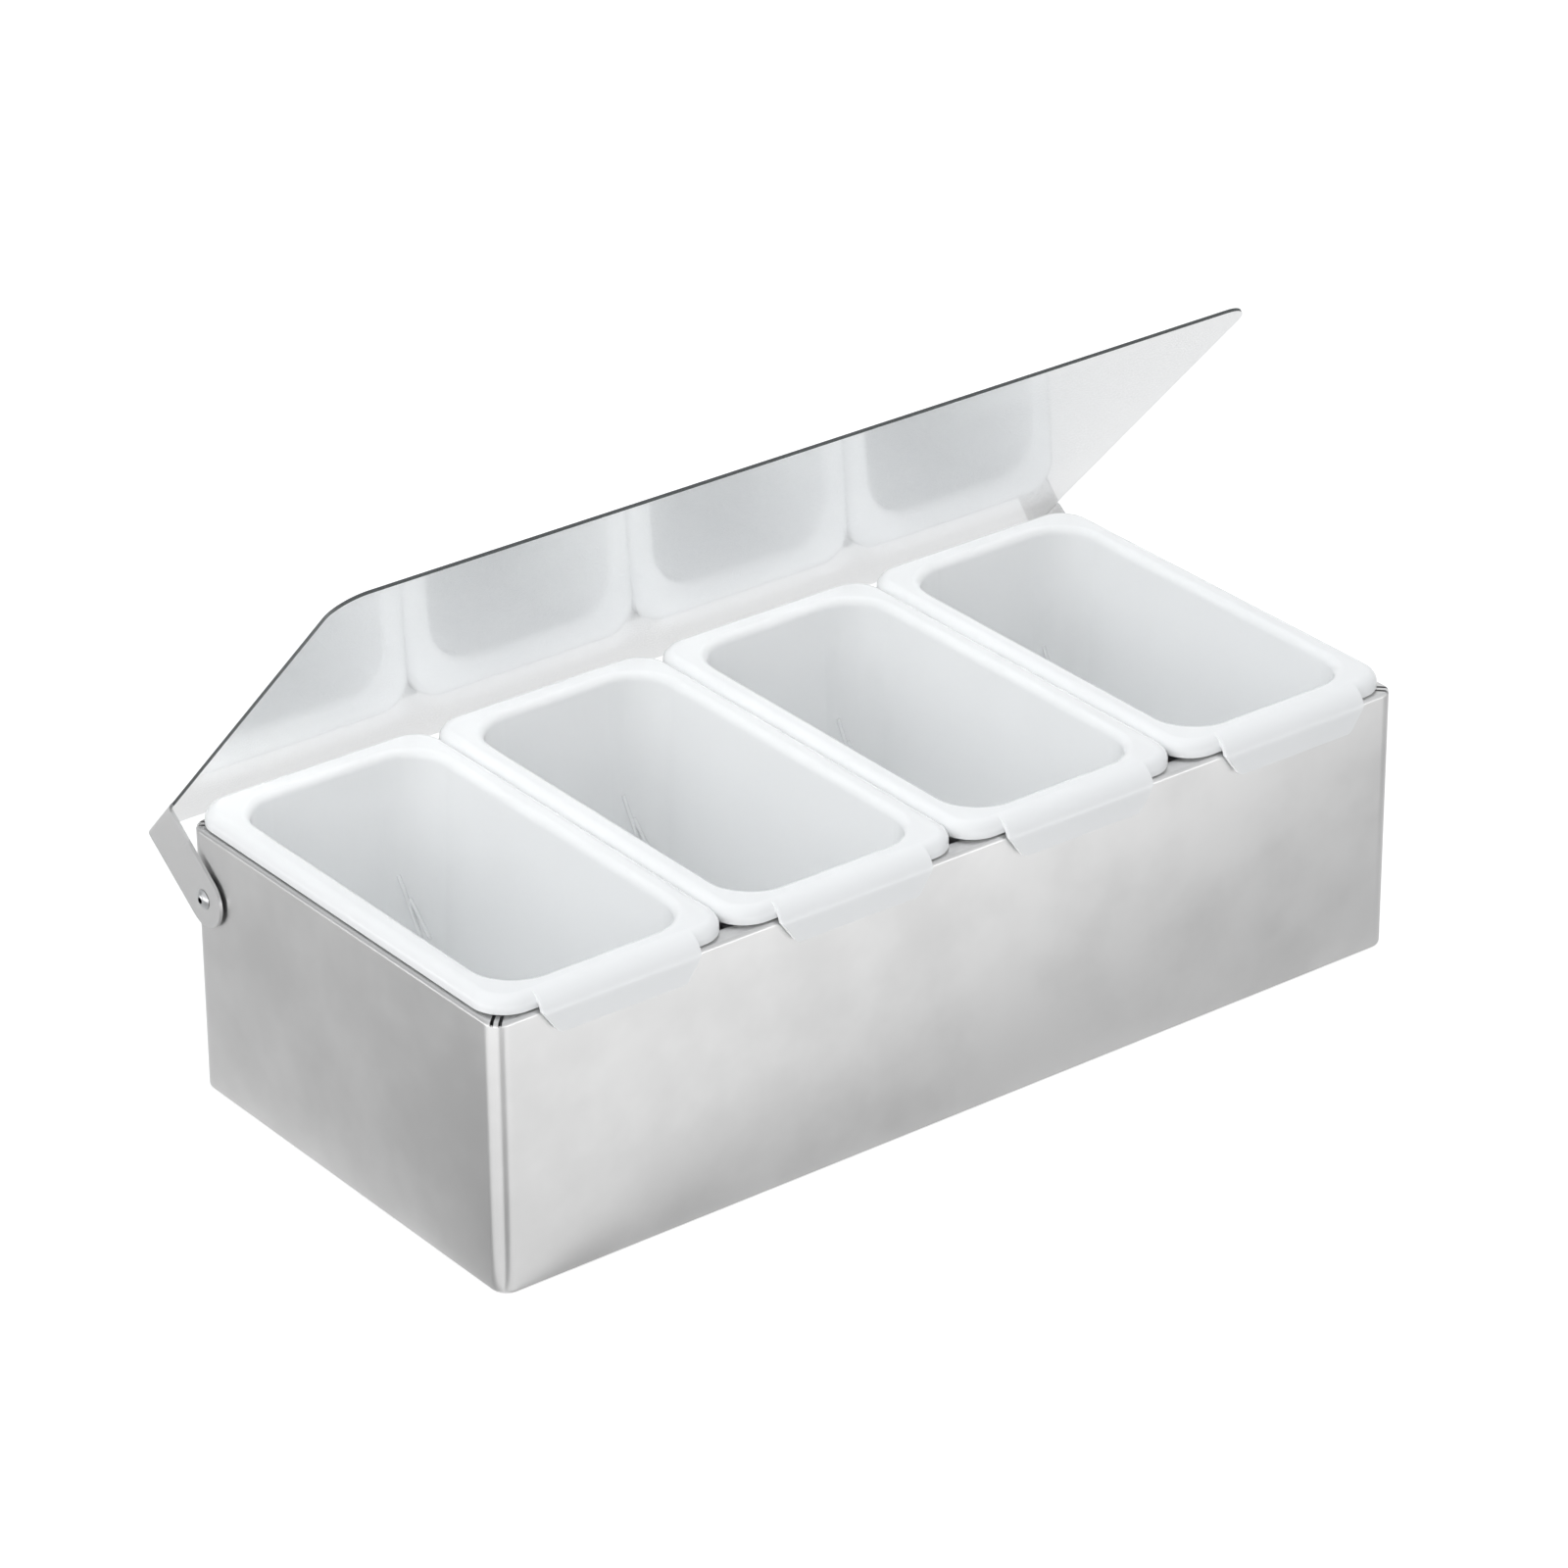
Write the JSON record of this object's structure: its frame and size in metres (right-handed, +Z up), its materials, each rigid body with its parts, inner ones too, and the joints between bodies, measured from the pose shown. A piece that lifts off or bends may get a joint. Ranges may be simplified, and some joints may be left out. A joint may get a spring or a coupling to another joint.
{
  "type": "condiment caddy",
  "caption": "Folded steel trough holding lift-out moulded bins side by side, under one flip lid that turns on rivets at the rear corners.",
  "frame": {"origin": "middle of the trough's underside, on the face that it rests on", "axes": "+X along the trough, left to right as seen from the front, +Y from the front with the pull tabs to the hinge at the rear, +Z up"},
  "size_m": [0.3872, 0.2014, 0.2176],
  "materials": {
    "satin_steel": "satin, fine grain along the length",
    "polished_steel": "polished",
    "white_plastic": "gloss, slightly cool white",
    "rivet_steel": "bright",
    "washer_steel": "plain"
  },
  "bodies": {
    "base": {"trough": "satin_steel", "bin_1": "white_plastic", "bin_2": "white_plastic", "bin_3": "white_plastic", "bin_4": "white_plastic", "rivet_left": "rivet_steel", "rivet_right": "rivet_steel", "washer_left": "washer_steel", "washer_right": "washer_steel"},
    "flip_lid": {"lid": "polished_steel"}
  },
  "joints": [
    {"name": "lid_hinge", "type": "hinge", "parent": "base", "child": "flip_lid", "pos_m": [0, 0.0775, 0.0755], "axis": [-1, 0, 0], "range_deg": [-47.5, 91]}
  ]
}
